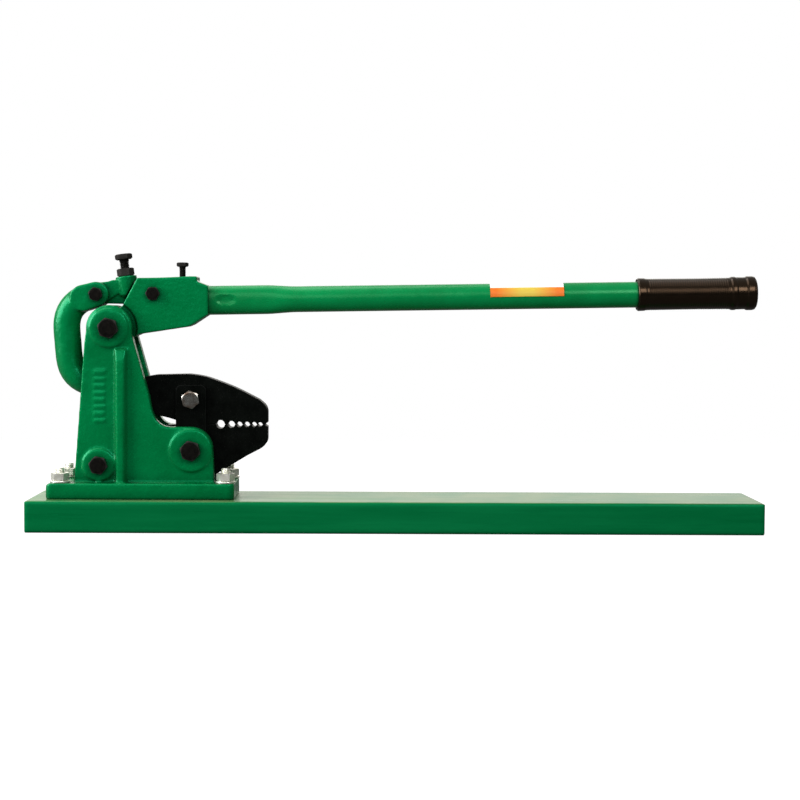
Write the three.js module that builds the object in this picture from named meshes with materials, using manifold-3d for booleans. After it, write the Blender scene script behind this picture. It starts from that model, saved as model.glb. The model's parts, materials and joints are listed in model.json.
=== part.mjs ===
// Bench swager: a hand press for wire rope sleeves, on a wooden bench board.
//
// Millimetres, +Z up. X runs along the board towards the grip, Y across it, and the operator's side is -Y.
// The origin is at the centre of the board's underside. A toggle linkage closes the jaws: the handle head
// turns about pivot C, the hook link hangs from pin A on the adjusting lever, and its lower end pulls pin P
// on the tail of the upper jaw, which rocks about pivot F.

import * as THREE from 'three';
import { mergeVertices } from 'three/addons/utils/BufferGeometryUtils.js';
import Module from 'manifold-3d';

const wasm = await Module();
wasm.setup();

// ---------------------------------------------------------------- driving dimensions

const GAP = 0.3; // clearance between pieces that are fastened together
const RUNNING = 0.1; // radial clearance of a turning fit, measured at the corners of the faceted bore
const SIDE_PLAY = 0.7; // clearance beside a tongue in its slot
const DRILL = 20; // half length of a hole's cutter, past both sides of any moving piece or jaw
const OPEN = 40; // how far an open-ended cutter runs past a piece
const FINE = 36; // facets of a turning fit
const COARSE = 20; // facets of other round shapes
const BOSS_FACETS = 60; // facets of the bosses on the castings
const OUTLINE_STEPS = 14; // divisions of each round stretch of a cast outline

const BOARD = { length: 760, width: 110, thickness: 33, edge: 1.5 };

// Pivot centres in the X, Z plane
const C = [-297, 209.6]; // handle head
const A = [-312.5, 244.5]; // hook link on the adjusting lever
const B = [-253, 245.5]; // adjusting lever on the handle head
const P = [-276, 141]; // hook link on the upper jaw
const F = [-214, 135.5]; // upper jaw
const E = [-212.5, 83.3]; // front of the lower jaw and foot of the jaw plates
const D = [-307.5, 68]; // tail of the lower jaw

// Layers across the tool, as half widths from the centre plane
const CHEEK = { inner: 15, outer: 29, boss: 31.5, rib: 37, topRadius: 23.8 };
const CHEEK_SHOULDER = { centre: [-213.2, 84.3], r: 23.1 }; // the cheek's round corner over the jaw's bolt
const JAW_HALF = 10.5;
const PLATE = { inner: 10.8, outer: 14.7, halfWidth: 15.7 };
const HUB_HALF = 14.5;
const HEAD_HALF = 17.5;
const HEAD_RELIEF_R = 27.5; // inside this radius about C the head is only as wide as its hub
const TONGUE_HALF = 6;

const FLANGE = { left: -361.5, right: -167, half: 40, height: 16.5, corner: 6, shoulder: 4.5 };
const FLANGE_TOP = BOARD.thickness + FLANGE.height;

const CASTING_BOSS = { pivot: 20, jaw: 22, tail: 16.8 }; // radii
const RIB = { base: [-292, -277], crest: [-288, -281.5], top: 188 };
const BARS = { left: -312.5, right: -301.5, bottom: 112, height: 3.4, pitch: 7.2, count: 8, proud: 1.3 };

// Hexagon fasteners: shank radius, width across flats, head height, nut height
const M12 = { r: 6, flats: 19, head: 7.5, nut: 10 };
const M10 = { r: 5, flats: 17, head: 6.4, nut: 8 };
const M8 = { r: 4, flats: 13, head: 5.3, nut: 6.5 };
const M7 = { r: 3.5, flats: 11, head: 4.5 };
const ADJUSTER = { r: 5, flats: 16, head: 6, nut: 8 };
const SHANK_PROUD = 3; // how far a shank stands out of its nut

const BASE_BOLTS = { x: [-347.6, -176.5], y: 28.5, top: 65, recess: 8, recessRadius: 11 };
const WASHER = { r: 10.2, thickness: 1.8 };

const PIVOT_BUSH_R = 9;
const JAW_BUSH_R = 8;
const LINK_PIN = { r: 6, half: 14.2, proud: 0.7 };
const UPPER_TAIL_R = 13;
const LOWER_TAIL_R = 14.5;
const LINK_EYE_R = 9; // bore of the link's lower eye, open enough for the linkage's play
const JAW_SLOT_R = 18.4; // round end of the jaw's slot, with room for the same play round the link's eye

const SPLIT_Z = 109.4; // where the two die faces meet
const DIE_FACE = { left: -201, right: -134.2, gap: 0.3 };
// The place and radius of each round die, cut half into either jaw; the last one is open at the jaws' tip
const DIES = [
  [-183.5, 4.5], [-172.1, 3.6], [-163.7, 2.85], [-155.8, 2.8], [-148.4, 2.6], [-142.1, 2.35], [-134.6, 1.8],
];

const HOOK_BAR_R = 14;
const LEVER_EYE = { r: 12.5, half: 8 };
const LINK_FORK_HALF = 14.4;
const LEVER_BOSS = { r: 11, length: 19, cone: 6, coneEnd: 6 };

// The adjusting screw leans towards the hook link
const SCREW_LEAN = THREE.MathUtils.degToRad(7.3);
const SCREW_SEAT = [-283, 263.5]; // where the screw's axis leaves the top of the lever's boss
const SCREW_SPAN = { tip: -31.8, underHead: 17.5 };

const CLAMP = { x: -224, underHead: 273.8, tip: 254.8 };

const SLOT_FLOOR = 231; // floor of the head's slot, which the adjusting screw presses on

// The handle's axis, from the mouth of the head's socket
const HANDLE_ORIGIN = [-196, 238.9];
const HANDLE_RISE = THREE.MathUtils.degToRad(1.12);
const SOCKET_DEPTH = 40;
const TUBE = { r: 13.6, wall: 2.8, end: 569 };
const FLAT = { halfHeight: 15.2, halfWidth: 12.2, end: 58, taper: 92 };
const GRIP = { start: 449, end: 574, capThickness: 4 };
const LABEL = { start: 294, end: 371, inner: 13.85, thickness: 0.35, from: -20, to: 92 };

// ---------------------------------------------------------------- colours

const paint = (color, roughness, metalness = 0) =>
  new THREE.MeshStandardMaterial({ color, roughness, metalness });

const GREEN = paint(0x02753a, 0.3);
const BOARD_GREEN = paint(0x0d6539, 0.45);
const BLACK_STEEL = paint(0x1b1a1a, 0.45, 0.7);
const JAW_STEEL = paint(0x0d0d0e, 0.5, 0.6);
const ZINC = paint(0xc9c8c0, 0.3, 1);
const BRIGHT = paint(0xa39a8e, 0.28, 1);
const RUBBER = paint(0x141210, 0.7);
const STICKER = paint(0xee8a2d, 0.4);

// ---------------------------------------------------------------- solids

const toSolid = (geometry) => {
  const bare = geometry.clone();
  bare.deleteAttribute('normal');
  bare.deleteAttribute('uv');
  const merged = mergeVertices(bare, 1e-4);
  const mesh = new wasm.Mesh({
    numProp: 3,
    vertProperties: new Float32Array(merged.attributes.position.array),
    triVerts: new Uint32Array(merged.index.array),
  });
  return new wasm.Manifold(mesh);
};

const toGeometry = (solid) => {
  const mesh = solid.getMesh();
  const geometry = new THREE.BufferGeometry();
  geometry.setAttribute('position', new THREE.BufferAttribute(new Float32Array(mesh.vertProperties), 3));
  geometry.setIndex(new THREE.BufferAttribute(new Uint32Array(mesh.triVerts), 1));
  geometry.computeVertexNormals();
  return geometry;
};

const union = (parts) => parts.reduce((sum, part) => sum.add(part));

const cut = (body, tools) => tools.reduce((rest, tool) => rest.subtract(tool), body);

// Extrudes an X, Z outline across the tool, from y0 to y1
const prismGeometry = (shape, y0, y1, curveSegments) => {
  const geometry = new THREE.ExtrudeGeometry(shape, { depth: y1 - y0, bevelEnabled: false, curveSegments });
  geometry.rotateX(Math.PI / 2);
  geometry.translate(0, y1, 0);
  return geometry;
};

const prism = (shape, y0, y1, curveSegments = 8) => toSolid(prismGeometry(shape, y0, y1, curveSegments));

const toVector = ([x, z]) => new THREE.Vector2(x, z);

const polygon = (points) => new THREE.Shape(points.map(toVector));

// A bar of a given half width with round ends about two centres
const barShape = (from, to, r0, r1) => {
  const angle = Math.atan2(to[1] - from[1], to[0] - from[0]);
  const distance = Math.hypot(to[0] - from[0], to[1] - from[1]);
  const spread = Math.acos((r0 - r1) / distance);
  const shape = new THREE.Shape();
  shape.absarc(from[0], from[1], r0, angle + spread, angle - spread + 2 * Math.PI, false);
  shape.absarc(to[0], to[1], r1, angle - spread, angle + spread, false);
  return shape;
};

const discShape = ([x, z], r) => {
  const shape = new THREE.Shape();
  shape.absarc(x, z, r, 0, 2 * Math.PI, false);
  return shape;
};

// A cylinder whose axis lies across the tool
const crossCylinder = ([x, z], r, y0, y1, facets = COARSE) => {
  const geometry = new THREE.CylinderGeometry(r, r, y1 - y0, facets);
  geometry.translate(x, (y0 + y1) / 2, 0);
  geometry.translate(0, 0, z);
  return toSolid(geometry);
};

const uprightCylinder = (x, y, r, z0, z1, facets = COARSE) => {
  const geometry = new THREE.CylinderGeometry(r, r, z1 - z0, facets);
  geometry.rotateX(Math.PI / 2);
  geometry.translate(x, y, (z0 + z1) / 2);
  return toSolid(geometry);
};

const uprightCone = (r0, r1, z0, z1, facets) => {
  const geometry = new THREE.CylinderGeometry(r1, r0, z1 - z0, facets);
  geometry.rotateX(Math.PI / 2);
  geometry.translate(0, 0, (z0 + z1) / 2);
  return toSolid(geometry);
};

const block = (x0, x1, y0, y1, z0, z1) => {
  const geometry = new THREE.BoxGeometry(x1 - x0, y1 - y0, z1 - z0);
  geometry.translate((x0 + x1) / 2, (y0 + y1) / 2, (z0 + z1) / 2);
  return toSolid(geometry);
};

// A hexagonal block along Y with two flats facing up and down
const hexAcross = (flats, y0, y1) => {
  const geometry = new THREE.CylinderGeometry(flats / Math.sqrt(3), flats / Math.sqrt(3), y1 - y0, 6);
  geometry.rotateY(Math.PI / 6);
  geometry.translate(0, (y0 + y1) / 2, 0);
  return toSolid(geometry);
};

const meshOf = (name, solid, material, parent) => {
  const mesh = new THREE.Mesh(toGeometry(solid), material);
  mesh.name = name;
  parent.add(mesh);
  return mesh;
};

// ---------------------------------------------------------------- fasteners

// A bolt along its own Y axis: the head stands at negative Y outside the seat, the shank runs towards +Y
const boltSolid = (size, seatY, tipY, facets = COARSE) =>
  hexAcross(size.flats, seatY - size.head, seatY).add(crossCylinder([0, 0], size.r, seatY - 1, tipY, facets));

const nutSolid = (size, seatY, thickness = size.nut) =>
  hexAcross(size.flats, seatY, seatY + thickness)
    .subtract(crossCylinder([0, 0], size.r + GAP, seatY - 1, seatY + thickness + 1));

// A bolt and nut through the tool at [x, z], with seats at -seat and +seat; turn rotates the hexagons
const addThroughBolt = (parent, { name, at, size, seat, material = BLACK_STEEL, facets, turn = 0 }) => {
  const tip = seat + size.nut + SHANK_PROUD;
  const bolt = meshOf(name, boltSolid(size, -seat - GAP, tip, facets), material, parent);
  const nut = meshOf(`${name}_nut`, nutSolid(size, seat + GAP), material, parent);
  for (const mesh of [bolt, nut]) {
    mesh.position.set(at[0], 0, at[1]);
    mesh.rotation.y = turn;
  }
};

const addBush = (parent, name, at, outer, inner, half) => {
  const ring = crossCylinder([0, 0], outer, -half, half, FINE)
    .subtract(crossCylinder([0, 0], inner, -half - 1, half + 1));
  meshOf(name, ring, BRIGHT, parent).position.set(at[0], 0, at[1]);
};

// ---------------------------------------------------------------- board and its bolts

const boardBoltPlaces = () => {
  const places = [];
  for (const [end, x] of [['left', BASE_BOLTS.x[0]], ['right', BASE_BOLTS.x[1]]]) {
    places.push([`front_${end}`, x, -BASE_BOLTS.y], [`rear_${end}`, x, BASE_BOLTS.y]);
  }
  return places;
};

const addBoard = (parent) => {
  const { length, width, thickness, edge } = BOARD;
  const section = new THREE.Shape();
  const w = width / 2;
  section.moveTo(-w + edge, 0);
  section.lineTo(w - edge, 0);
  section.lineTo(w, edge);
  section.lineTo(w, thickness - edge);
  section.lineTo(w - edge, thickness);
  section.lineTo(-w + edge, thickness);
  section.lineTo(-w, thickness - edge);
  section.lineTo(-w, edge);
  section.closePath();
  const geometry = new THREE.ExtrudeGeometry(section, { depth: length, bevelEnabled: false });
  geometry.rotateX(Math.PI / 2);
  geometry.rotateZ(Math.PI / 2);
  geometry.translate(-length / 2, 0, 0);
  const holes = boardBoltPlaces().flatMap(([, x, y]) => [
    uprightCylinder(x, y, M10.r + GAP, -1, thickness + 1),
    uprightCylinder(x, y, BASE_BOLTS.recessRadius, -1, BASE_BOLTS.recess),
  ]);
  meshOf('base_board', cut(toSolid(geometry), holes), BOARD_GREEN, parent);
};

const addBoardBolts = (parent) => {
  for (const [place, x, y] of boardBoltPlaces()) {
    const seat = BASE_BOLTS.recess - GAP;
    const nutSeat = FLANGE_TOP + WASHER.thickness + 2 * GAP;
    const bolt = boltSolid(M10, seat, BASE_BOLTS.top);
    const nut = nutSolid(M10, nutSeat);
    const ring = crossCylinder([0, 0], WASHER.r, FLANGE_TOP + GAP, nutSeat - GAP)
      .subtract(crossCylinder([0, 0], M10.r + GAP, 0, nutSeat + 1));
    for (const [part, solid] of [['bolt', bolt], ['washer', ring], ['nut', nut]]) {
      const mesh = meshOf(`base_${part}_${place}`, solid, ZINC, parent);
      mesh.rotation.x = Math.PI / 2;
      mesh.position.set(x, y, 0);
    }
  }
};

// ---------------------------------------------------------------- side castings

const cheekShape = () => {
  const { centre, r } = CHEEK_SHOULDER;
  const shape = new THREE.Shape();
  shape.moveTo(-333.6, FLANGE_TOP - 1);
  shape.lineTo(-330.2, 92.4);
  shape.lineTo(-322.6, 193.4);
  shape.absarc(C[0], C[1], CHEEK.topRadius, Math.PI + 0.1, -0.24, true);
  shape.lineTo(-255.8, 139.7);
  shape.bezierCurveTo(-253, 121, -249.5, 108, -234, centre[1] + r);
  shape.absarc(centre[0], centre[1], r, Math.PI / 2, 0, true);
  shape.lineTo(-188.2, FLANGE_TOP - 1);
  shape.closePath();
  return shape;
};

// Half of the foot flange: its plan has two round outer corners, and its left end a round shoulder
const flangeSolid = () => {
  const { left, right, half, corner, shoulder } = FLANGE;
  const shape = new THREE.Shape();
  shape.moveTo(left, GAP / 2);
  shape.lineTo(right, GAP / 2);
  shape.lineTo(right, half - corner);
  shape.absarc(right - corner, half - corner, corner, 0, Math.PI / 2, false);
  shape.lineTo(left + corner, half);
  shape.absarc(left + corner, half - corner, corner, Math.PI / 2, Math.PI, false);
  shape.closePath();
  const geometry = new THREE.ExtrudeGeometry(shape, {
    depth: FLANGE.height, bevelEnabled: false, curveSegments: 5,
  });
  geometry.translate(0, 0, BOARD.thickness);
  const side = new THREE.Shape();
  side.moveTo(left - 1, BOARD.thickness - 1);
  side.lineTo(right + 1, BOARD.thickness - 1);
  side.lineTo(right + 1, FLANGE_TOP + 1);
  side.lineTo(left + shoulder, FLANGE_TOP + 1);
  side.absarc(left + shoulder, FLANGE_TOP - shoulder, shoulder, Math.PI / 2, Math.PI, false);
  side.lineTo(left - 1, FLANGE_TOP - shoulder);
  side.closePath();
  return toSolid(geometry).intersect(prism(side, -1, half + 1));
};

// The rib is a ridge with sloping flanks, and it stands out a little more towards the flange
const ribSolid = () => {
  const { base, crest, top } = RIB;
  const section = polygon([
    [base[0], CHEEK.outer - 1], [base[1], CHEEK.outer - 1], [crest[1], CHEEK.rib], [crest[0], CHEEK.rib],
  ]);
  const ridge = new THREE.ExtrudeGeometry(section, { depth: top - FLANGE_TOP + 1, bevelEnabled: false });
  ridge.translate(0, 0, FLANGE_TOP - 1);
  const profile = polygon([
    [CHEEK.outer - 1, FLANGE_TOP - 1], [CHEEK.rib, FLANGE_TOP - 1], [CHEEK.rib - 2, top - 12],
    [CHEEK.outer + 3, top], [CHEEK.outer - 1, top],
  ]);
  const slab = new THREE.ExtrudeGeometry(profile, { depth: base[1] - base[0] + 2, bevelEnabled: false });
  slab.rotateX(Math.PI / 2);
  slab.rotateZ(Math.PI / 2);
  slab.translate(base[0] - 1, 0, 0);
  return toSolid(ridge).intersect(toSolid(slab));
};

// A column of short raised bars on the outside of the cheek
const cheekBars = () => {
  const { left, right, bottom, height, pitch, count, proud } = BARS;
  return Array.from({ length: count }, (_, i) => {
    const low = bottom + i * pitch;
    return block(left, right, CHEEK.outer - 1, CHEEK.outer + proud, low, low + height);
  });
};

const castingSolid = () => {
  const { inner, outer, boss } = CHEEK;
  const bossAt = (centre, r) => crossCylinder(centre, r, outer - 1, boss, BOSS_FACETS);
  const body = union([
    prism(cheekShape(), inner, outer, OUTLINE_STEPS),
    flangeSolid(),
    ribSolid(),
    bossAt(C, CASTING_BOSS.pivot),
    bossAt(E, CASTING_BOSS.jaw),
    bossAt(D, CASTING_BOSS.tail),
    ...cheekBars(),
  ]);
  const holeAt = (centre, size) => crossCylinder(centre, size.r + GAP, inner - 1, boss + 1);
  const baseHoles = BASE_BOLTS.x.map((x) =>
    uprightCylinder(x, BASE_BOLTS.y, M10.r + GAP, BOARD.thickness - 1, FLANGE_TOP + 1));
  return cut(body, [holeAt(C, M12), holeAt(E, M12), holeAt(D, M10), ...baseHoles]);
};

const addCastings = (parent) => {
  const rear = castingSolid();
  meshOf('rear_side_casting', rear, GREEN, parent);
  meshOf('front_side_casting', rear.mirror([0, 1, 0]), GREEN, parent);
};

// ---------------------------------------------------------------- jaws

const upperJawShape = () => {
  const low = SPLIT_Z + DIE_FACE.gap / 2;
  const shape = new THREE.Shape();
  shape.moveTo(DIE_FACE.left, low);
  shape.lineTo(DIE_FACE.right, low);
  shape.lineTo(DIE_FACE.right, 122);
  shape.quadraticCurveTo(DIE_FACE.right, 127.8, -138.5, 131.6);
  shape.lineTo(-143, 135.4);
  shape.splineThru([[-168, 147.9], [-193.3, 157.5], [-205.9, 160.6], [-216.4, 161.9]].map(toVector));
  shape.lineTo(-250, 161);
  shape.quadraticCurveTo(-262, 159.5, -276.5, P[1] + UPPER_TAIL_R);
  shape.absarc(P[0], P[1], UPPER_TAIL_R, Math.PI / 2, -1.33, false);
  shape.lineTo(-247, 118);
  shape.quadraticCurveTo(-238, 116.5, -230, 113.6);
  shape.quadraticCurveTo(-218, 110.6, -206, 113);
  shape.closePath();
  return shape;
};

const lowerJawShape = () => {
  const high = SPLIT_Z - DIE_FACE.gap / 2;
  const shape = new THREE.Shape();
  shape.moveTo(DIE_FACE.right, high);
  shape.lineTo(DIE_FACE.left, high);
  shape.lineTo(-203, high - 0.6);
  shape.lineTo(-238, high - 0.8);
  shape.lineTo(D[0] + 2, D[1] + LOWER_TAIL_R - 0.1);
  shape.absarc(D[0], D[1], LOWER_TAIL_R, 1.4, 1.5 * Math.PI, false);
  shape.lineTo(-194, 52.5);
  shape.lineTo(-187.5, 57.4);
  shape.lineTo(-155.4, 76.8);
  shape.lineTo(-142.8, 83.4);
  shape.quadraticCurveTo(DIE_FACE.right, 88, DIE_FACE.right, 95);
  shape.closePath();
  return shape;
};

const dieCuts = () => DIES.map(([x, r]) => crossCylinder([x, SPLIT_Z], r, -DRILL, DRILL));

const addUpperJaw = (parent) => {
  const tail = new THREE.Shape();
  tail.absarc(P[0], P[1], UPPER_TAIL_R, Math.PI / 2, 1.5 * Math.PI, false);
  tail.lineTo(-260, P[1] - UPPER_TAIL_R);
  tail.lineTo(-260, P[1] + UPPER_TAIL_R);
  tail.closePath();
  const tailHalf = LINK_PIN.half - LINK_PIN.proud;
  const body = union([
    prism(upperJawShape(), -JAW_HALF, JAW_HALF),
    prism(tail, -tailHalf, tailHalf),
  ]);
  const slotHalf = TONGUE_HALF + SIDE_PLAY;
  const slot = union([
    crossCylinder(P, JAW_SLOT_R, -slotHalf, slotHalf, FINE),
    block(P[0] - OPEN, P[0], -slotHalf, slotHalf, P[1] - OPEN, P[1] + OPEN),
  ]);
  const cuts = [
    slot,
    crossCylinder(P, LINK_PIN.r + GAP, -DRILL, DRILL),
    crossCylinder(F, JAW_BUSH_R + RUNNING, -DRILL, DRILL, FINE),
    ...dieCuts(),
  ];
  meshOf('upper_jaw', cut(body, cuts), JAW_STEEL, parent);
  meshOf('link_pin', crossCylinder(P, LINK_PIN.r, -LINK_PIN.half, LINK_PIN.half), BRIGHT, parent);
};

const addLowerJaw = (parent) => {
  const body = union([
    prism(lowerJawShape(), -JAW_HALF, JAW_HALF),
    crossCylinder(D, LOWER_TAIL_R, -PLATE.outer, PLATE.outer),
  ]);
  const cuts = [
    crossCylinder(E, M12.r + GAP, -DRILL, DRILL),
    crossCylinder(D, M10.r + GAP, -DRILL, DRILL),
    ...dieCuts(),
  ];
  meshOf('lower_jaw', cut(body, cuts), JAW_STEEL, parent);
};

const addJawPlates = (parent) => {
  const { inner, outer, halfWidth: w } = PLATE;
  const top = F[1] + 15;
  const corner = 6;
  const shape = new THREE.Shape();
  shape.moveTo(F[0] + w, E[1]);
  shape.lineTo(F[0] + w, top - corner);
  shape.absarc(F[0] + w - corner, top - corner, corner, 0, Math.PI / 2, false);
  shape.absarc(F[0] - w + corner, top - corner, corner, Math.PI / 2, Math.PI, false);
  shape.lineTo(F[0] - w, E[1]);
  shape.absarc(F[0], E[1], w, Math.PI, 2 * Math.PI, false);
  shape.holes.push(discShape(F, M10.r + GAP), discShape(E, M12.r + GAP));
  meshOf('rear_jaw_plate', prism(shape, inner, outer), JAW_STEEL, parent);
  meshOf('front_jaw_plate', prism(shape, -outer, -inner), JAW_STEEL, parent);
};

// ---------------------------------------------------------------- handle head and adjusting lever

const headShape = () => {
  const shape = new THREE.Shape();
  shape.moveTo(-269.4, 261.7);
  shape.lineTo(-284.6, 233);
  shape.lineTo(-290, 228);
  shape.absarc(C[0], C[1], 20, 1.13, -0.85, false);
  shape.lineTo(-267.3, 203.4);
  shape.lineTo(-217, 211.3);
  shape.lineTo(-211.8, 213.5);
  shape.lineTo(-196, 224);
  shape.lineTo(-196, 254);
  shape.lineTo(-207.4, 258.4);
  shape.lineTo(-207.4, 263.7);
  shape.lineTo(-215, 263.7);
  shape.quadraticCurveTo(-240, 262, -269.4, 261.7);
  return shape;
};

// Everything on the handle's own axis is built along +X and then turned by the handle's rise
const alongHandle = (solid) => {
  const degrees = -THREE.MathUtils.radToDeg(HANDLE_RISE);
  return solid.rotate([0, degrees, 0]).translate([HANDLE_ORIGIN[0], 0, HANDLE_ORIGIN[1]]);
};

const addHandleHead = (parent) => {
  const hub = prism(headShape(), -HUB_HALF, HUB_HALF, OUTLINE_STEPS);
  const thick = prism(headShape(), -HEAD_HALF, HEAD_HALF, OUTLINE_STEPS)
    .subtract(crossCylinder(C, HEAD_RELIEF_R, -HEAD_HALF - 1, HEAD_HALF + 1, FINE));
  const slotShape = new THREE.Shape();
  slotShape.moveTo(-320, SLOT_FLOOR);
  slotShape.lineTo(B[0] + 6, SLOT_FLOOR);
  slotShape.quadraticCurveTo(B[0] + 13, SLOT_FLOOR, B[0] + 13, B[1] - 6);
  slotShape.lineTo(B[0] + 13, 275);
  slotShape.lineTo(-320, 275);
  slotShape.closePath();
  const slotHalf = TONGUE_HALF + SIDE_PLAY;
  const socket = block(-SOCKET_DEPTH, 5, -FLAT.halfWidth - GAP, FLAT.halfWidth + GAP,
    -FLAT.halfHeight - GAP, FLAT.halfHeight + GAP);
  const cuts = [
    prism(slotShape, -slotHalf, slotHalf),
    crossCylinder(C, PIVOT_BUSH_R + RUNNING, -DRILL, DRILL, FINE),
    crossCylinder(B, M8.r + GAP, -DRILL, DRILL),
    uprightCylinder(CLAMP.x, 0, M7.r + GAP, HANDLE_ORIGIN[1], 270),
    alongHandle(socket),
  ];
  meshOf('handle_head', cut(hub.add(thick), cuts), GREEN, parent);
};

// Solids on the adjusting screw's axis are built along +Z from the seat on the lever's boss
const onScrewAxis = (solid) =>
  solid.rotate([0, -THREE.MathUtils.radToDeg(SCREW_LEAN), 0]).translate([SCREW_SEAT[0], 0, SCREW_SEAT[1]]);

// A fastener built along +Y is stood up along +Z, or hung with its head on top
const standUp = (solid) => solid.rotate([90, 0, 0]);
const hangDown = (solid) => solid.rotate([-90, 0, 0]);

const addAdjustingLever = (parent) => {
  const tongue = prism(barShape(A, B, 9.5, 11.5), -TONGUE_HALF, TONGUE_HALF);
  const web = polygon([[-306, 245], [-283, 245.5], [-270, 246], [-270, 258], [-296, 259.5], [-306, 256]]);
  const facing = polygon([[-330, 200], [-304.6, 200], [-270.6, 264], [-270.6, 290], [-330, 290]]);
  const { r, length, cone, coneEnd } = LEVER_BOSS;
  const boss = onScrewAxis(union([
    uprightCylinder(0, 0, r, -length, 0, FINE),
    uprightCone(coneEnd, r, -length - cone, -length, FINE),
  ]));
  const eye = crossCylinder(A, LEVER_EYE.r, -LEVER_EYE.half, LEVER_EYE.half, FINE);
  const neck = prism(barShape(A, [-295, 251], 11.8, 7.5), -LEVER_EYE.half, LEVER_EYE.half);
  const outside = union([boss, prism(web, -LEVER_EYE.half, LEVER_EYE.half), neck])
    .intersect(prism(facing, -DRILL, DRILL));
  const body = union([tongue, outside, eye]);
  const cuts = [
    crossCylinder(A, M8.r + RUNNING, -DRILL, DRILL, FINE),
    crossCylinder(B, M8.r + GAP, -DRILL, DRILL),
    onScrewAxis(uprightCylinder(0, 0, ADJUSTER.r + GAP, -45, 5)),
  ];
  meshOf('adjusting_lever', cut(body, cuts), GREEN, parent);
};

const addScrews = (parent) => {
  const screw = hangDown(boltSolid(ADJUSTER, -SCREW_SPAN.underHead, -SCREW_SPAN.tip));
  meshOf('adjusting_screw', onScrewAxis(screw), BLACK_STEEL, parent);
  meshOf('adjusting_lock_nut', onScrewAxis(standUp(nutSolid(ADJUSTER, GAP))), BLACK_STEEL, parent);
  const clamp = hangDown(boltSolid(M7, -CLAMP.underHead, -CLAMP.tip));
  meshOf('clamp_screw', clamp.translate([CLAMP.x, 0, 0]), BLACK_STEEL, parent);
};

// ---------------------------------------------------------------- handle tube, grip and label

// One ring of the tube's section at distance s along the handle, pressed flat by an amount from 0 to 1
const tubeRing = (s, flatness, inset) => {
  const h = THREE.MathUtils.lerp(TUBE.r, FLAT.halfHeight, flatness) - inset;
  const w = THREE.MathUtils.lerp(TUBE.r, FLAT.halfWidth, flatness) - inset;
  const power = THREE.MathUtils.lerp(1, 0.8, flatness);
  const bulge = (value) => Math.sign(value) * Math.abs(value) ** power;
  return Array.from({ length: COARSE }, (_, i) => {
    const angle = (2 * Math.PI * i) / COARSE;
    return new THREE.Vector3(s, w * bulge(Math.cos(angle)), h * bulge(Math.sin(angle)));
  });
};

// Joins rings of equal length into a closed tube; the last ring meets the first
const closedLoft = (rings) => {
  const count = rings[0].length;
  const positions = rings.flat().flatMap((v) => [v.x, v.y, v.z]);
  const index = [];
  rings.forEach((_, i) => {
    const next = (i + 1) % rings.length;
    for (let j = 0; j < count; j += 1) {
      const k = (j + 1) % count;
      const [a, b] = [i * count + j, i * count + k];
      const [c, d] = [next * count + j, next * count + k];
      index.push(a, b, c, b, d, c);
    }
  });
  const geometry = new THREE.BufferGeometry();
  geometry.setAttribute('position', new THREE.Float32BufferAttribute(positions, 3));
  geometry.setIndex(index);
  return geometry;
};

const addTube = (parent) => {
  const start = -SOCKET_DEPTH + GAP;
  const steps = 5;
  const stations = [[start, 1]];
  for (let i = 0; i <= steps; i += 1) {
    const t = i / steps;
    stations.push([THREE.MathUtils.lerp(FLAT.end, FLAT.taper, t), 1 - t * t * (3 - 2 * t)]);
  }
  stations.push([TUBE.end, 0]);
  const outer = stations.map(([s, flatness]) => tubeRing(s, flatness, 0));
  const inner = stations.map(([s, flatness]) => tubeRing(s, flatness, TUBE.wall)).reverse();
  const geometry = closedLoft([...outer, ...inner]);
  meshOf('handle_tube', alongHandle(toSolid(geometry)), GREEN, parent);
};

const lathe = (profile, facets) => {
  const geometry = new THREE.LatheGeometry(profile.map(([r, s]) => new THREE.Vector2(r, s)), facets);
  geometry.rotateZ(-Math.PI / 2);
  return toSolid(geometry);
};

const addGrip = (parent) => {
  const { start, end, capThickness } = GRIP;
  const bore = TUBE.r + GAP;
  const profile = [
    [0, end], [16, end], [17.6, end - 1.5], [17.9, end - 4], [17.9, end - 9], [16.9, end - 11.5],
    [17.1, end - 20], [17.6, end - 22], [17.6, end - 25], [16.6, end - 27], [16.3, (start + end) / 2],
    [16.8, start + 10], [17.3, start + 6], [17.3, start + 1.5], [16.3, start],
    [bore, start], [bore, end - capThickness], [0, end - capThickness],
  ];
  meshOf('handle_grip', alongHandle(lathe(profile.reverse(), 24)), RUBBER, parent);
};

const addLabel = (parent) => {
  const { start, end, inner, thickness, from, to } = LABEL;
  const shape = new THREE.Shape();
  const [a0, a1] = [from, to].map(THREE.MathUtils.degToRad);
  shape.absarc(0, 0, inner + thickness, a0, a1, false);
  shape.absarc(0, 0, inner, a1, a0, true);
  shape.closePath();
  const geometry = new THREE.ExtrudeGeometry(shape, {
    depth: end - start, bevelEnabled: false, curveSegments: 16,
  });
  // The section's own +X becomes up and its +Y the operator's side, with the length along the handle
  geometry.applyMatrix4(new THREE.Matrix4().set(0, 0, 1, start, 0, -1, 0, 0, 1, 0, 0, 0, 0, 0, 0, 1));
  meshOf('handle_label', alongHandle(toSolid(geometry)), STICKER, parent);
};

// ---------------------------------------------------------------- hook link

const hookBar = () => {
  const points = [[-326, 241], [-333.4, 236.4], [-339.6, 230], [-343.5, 222], [-345, 212], [-343.9, 196],
    [-342, 176], [-339, 166], [-332.5, 158], [-321, 152], [-303, 146]];
  const centres = points.map(([x, z]) => new THREE.Vector3(x, 0, z));
  const path = new THREE.CatmullRomCurve3(centres, false, 'centripetal');
  const geometry = new THREE.ExtrudeGeometry(discShape([0, 0], HOOK_BAR_R), {
    steps: 28, extrudePath: path, curveSegments: 14,
  });
  return toSolid(geometry);
};

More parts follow.
